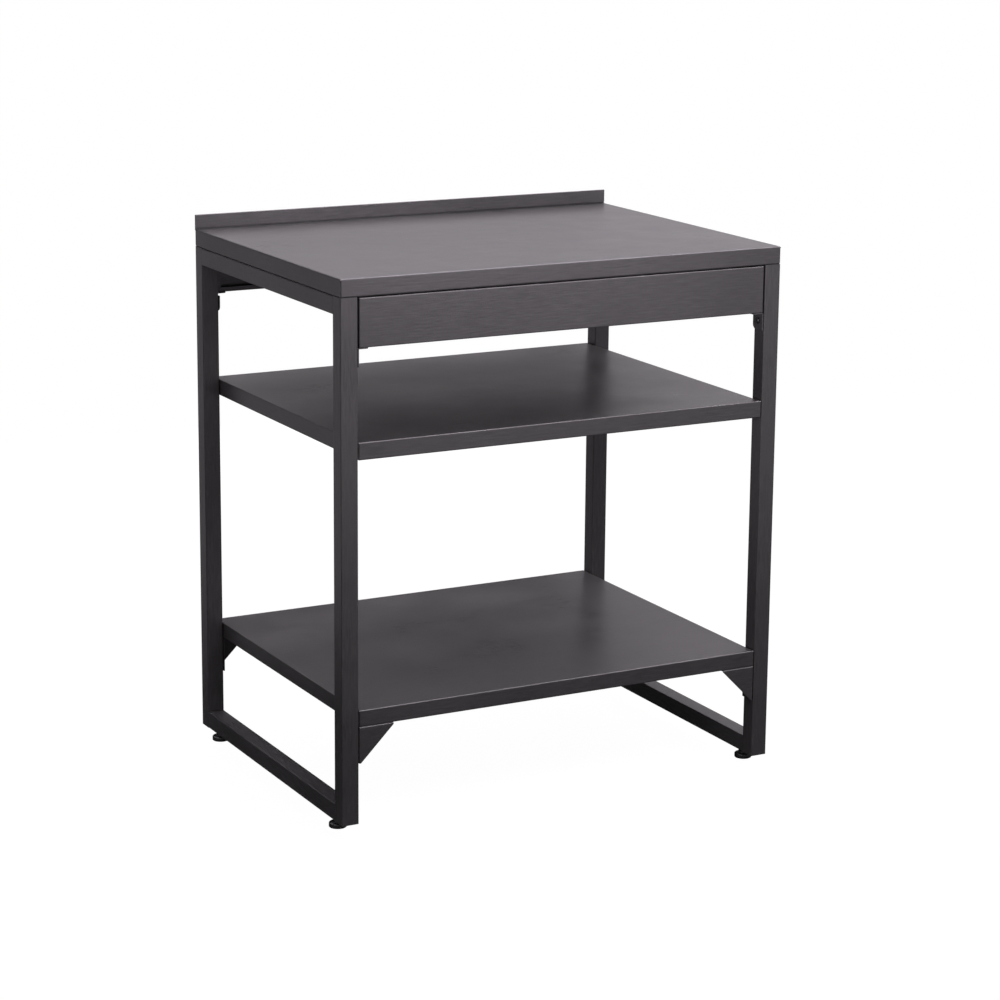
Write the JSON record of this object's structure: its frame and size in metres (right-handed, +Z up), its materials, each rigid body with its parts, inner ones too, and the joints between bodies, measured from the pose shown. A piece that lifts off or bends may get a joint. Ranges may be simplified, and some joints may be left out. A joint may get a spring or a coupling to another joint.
{
  "type": "outdoor kitchen work table",
  "caption": "Free-standing outdoor kitchen unit: open steel frame with folded worktop, rear upstand, aprons, two shelves and screw-adjusted levelling feet.",
  "frame": {"origin": "centre of the footprint, on the floor under the four feet", "axes": "+Z up, +X to the right as seen from the front, the front with the apron faces -Y and the upstand is at +Y"},
  "size_m": [0.82, 0.6, 0.944],
  "materials": {
    "charcoal_powder_coat": "satin charcoal powder coat with a faint directional grain",
    "zinc_plated_steel": "bright zinc plating",
    "black_steel_bolts": "black coated button-head bolts",
    "black_plastic": "moulded black plastic"
  },
  "bodies": {
    "frame": {"worktop_panel": "charcoal_powder_coat", "worktop_stiffener": "charcoal_powder_coat", "middle_shelf": "charcoal_powder_coat", "middle_shelf_stiffener": "charcoal_powder_coat", "lower_shelf": "charcoal_powder_coat", "lower_shelf_stiffener": "charcoal_powder_coat", "front_apron": "charcoal_powder_coat", "rear_apron": "charcoal_powder_coat", "left_top_rail": "charcoal_powder_coat", "left_bottom_rail": "charcoal_powder_coat", "right_top_rail": "charcoal_powder_coat", "right_bottom_rail": "charcoal_powder_coat", "left_front_leg": "charcoal_powder_coat", "left_front_bracket": "charcoal_powder_coat", "left_front_gusset": "charcoal_powder_coat", "left_rear_leg": "charcoal_powder_coat", "left_rear_bracket": "charcoal_powder_coat", "left_rear_gusset": "charcoal_powder_coat", "right_front_leg": "charcoal_powder_coat", "right_front_bracket": "charcoal_powder_coat", "right_front_gusset": "charcoal_powder_coat", "right_rear_leg": "charcoal_powder_coat", "right_rear_bracket": "charcoal_powder_coat", "right_rear_gusset": "charcoal_powder_coat", "leg_inserts": "zinc_plated_steel", "foot_inserts": "zinc_plated_steel", "gusset_shelf_nuts": "zinc_plated_steel", "worktop_nuts": "zinc_plated_steel", "shelf_bolts": "black_steel_bolts", "bracket_bolts": "black_steel_bolts", "gusset_leg_bolts": "black_steel_bolts", "gusset_shelf_bolts": "black_steel_bolts", "worktop_bolts": "black_steel_bolts", "leg_end_plugs": "black_plastic"},
    "left_front_foot_screw": {"left_front_foot_stud": "zinc_plated_steel"},
    "left_front_foot_glide": {"left_front_foot_pad": "black_plastic"},
    "left_rear_foot_screw": {"left_rear_foot_stud": "zinc_plated_steel"},
    "left_rear_foot_glide": {"left_rear_foot_pad": "black_plastic"},
    "right_front_foot_screw": {"right_front_foot_stud": "zinc_plated_steel"},
    "right_front_foot_glide": {"right_front_foot_pad": "black_plastic"},
    "right_rear_foot_screw": {"right_rear_foot_stud": "zinc_plated_steel"},
    "right_rear_foot_glide": {"right_rear_foot_pad": "black_plastic"}
  },
  "joints": [
    {"name": "left_front_foot_travel", "type": "slide", "parent": "frame", "child": "left_front_foot_screw", "axis": [0, 0, -1], "range_m": [0, 0.015]},
    {"name": "left_front_foot_turn", "type": "hinge", "parent": "left_front_foot_screw", "child": "left_front_foot_glide", "pos_m": [-0.395, -0.25, 0], "axis": [0, 0, -1], "range_deg": [0, 4320]},
    {"name": "left_rear_foot_travel", "type": "slide", "parent": "frame", "child": "left_rear_foot_screw", "axis": [0, 0, -1], "range_m": [0, 0.015]},
    {"name": "left_rear_foot_turn", "type": "hinge", "parent": "left_rear_foot_screw", "child": "left_rear_foot_glide", "pos_m": [-0.395, 0.25, 0], "axis": [0, 0, -1], "range_deg": [0, 4320]},
    {"name": "right_front_foot_travel", "type": "slide", "parent": "frame", "child": "right_front_foot_screw", "axis": [0, 0, -1], "range_m": [0, 0.015]},
    {"name": "right_front_foot_turn", "type": "hinge", "parent": "right_front_foot_screw", "child": "right_front_foot_glide", "pos_m": [0.395, -0.25, 0], "axis": [0, 0, -1], "range_deg": [0, 4320]},
    {"name": "right_rear_foot_travel", "type": "slide", "parent": "frame", "child": "right_rear_foot_screw", "axis": [0, 0, -1], "range_m": [0, 0.015]},
    {"name": "right_rear_foot_turn", "type": "hinge", "parent": "right_rear_foot_screw", "child": "right_rear_foot_glide", "pos_m": [0.395, 0.25, 0], "axis": [0, 0, -1], "range_deg": [0, 4320]}
  ],
  "couplings": [
    {"joint": "left_front_foot_turn", "follows": "left_front_foot_travel", "rad_per_m": 5026.5},
    {"joint": "left_rear_foot_turn", "follows": "left_rear_foot_travel", "rad_per_m": 5026.5},
    {"joint": "right_front_foot_turn", "follows": "right_front_foot_travel", "rad_per_m": 5026.5},
    {"joint": "right_rear_foot_turn", "follows": "right_rear_foot_travel", "rad_per_m": 5026.5}
  ]
}
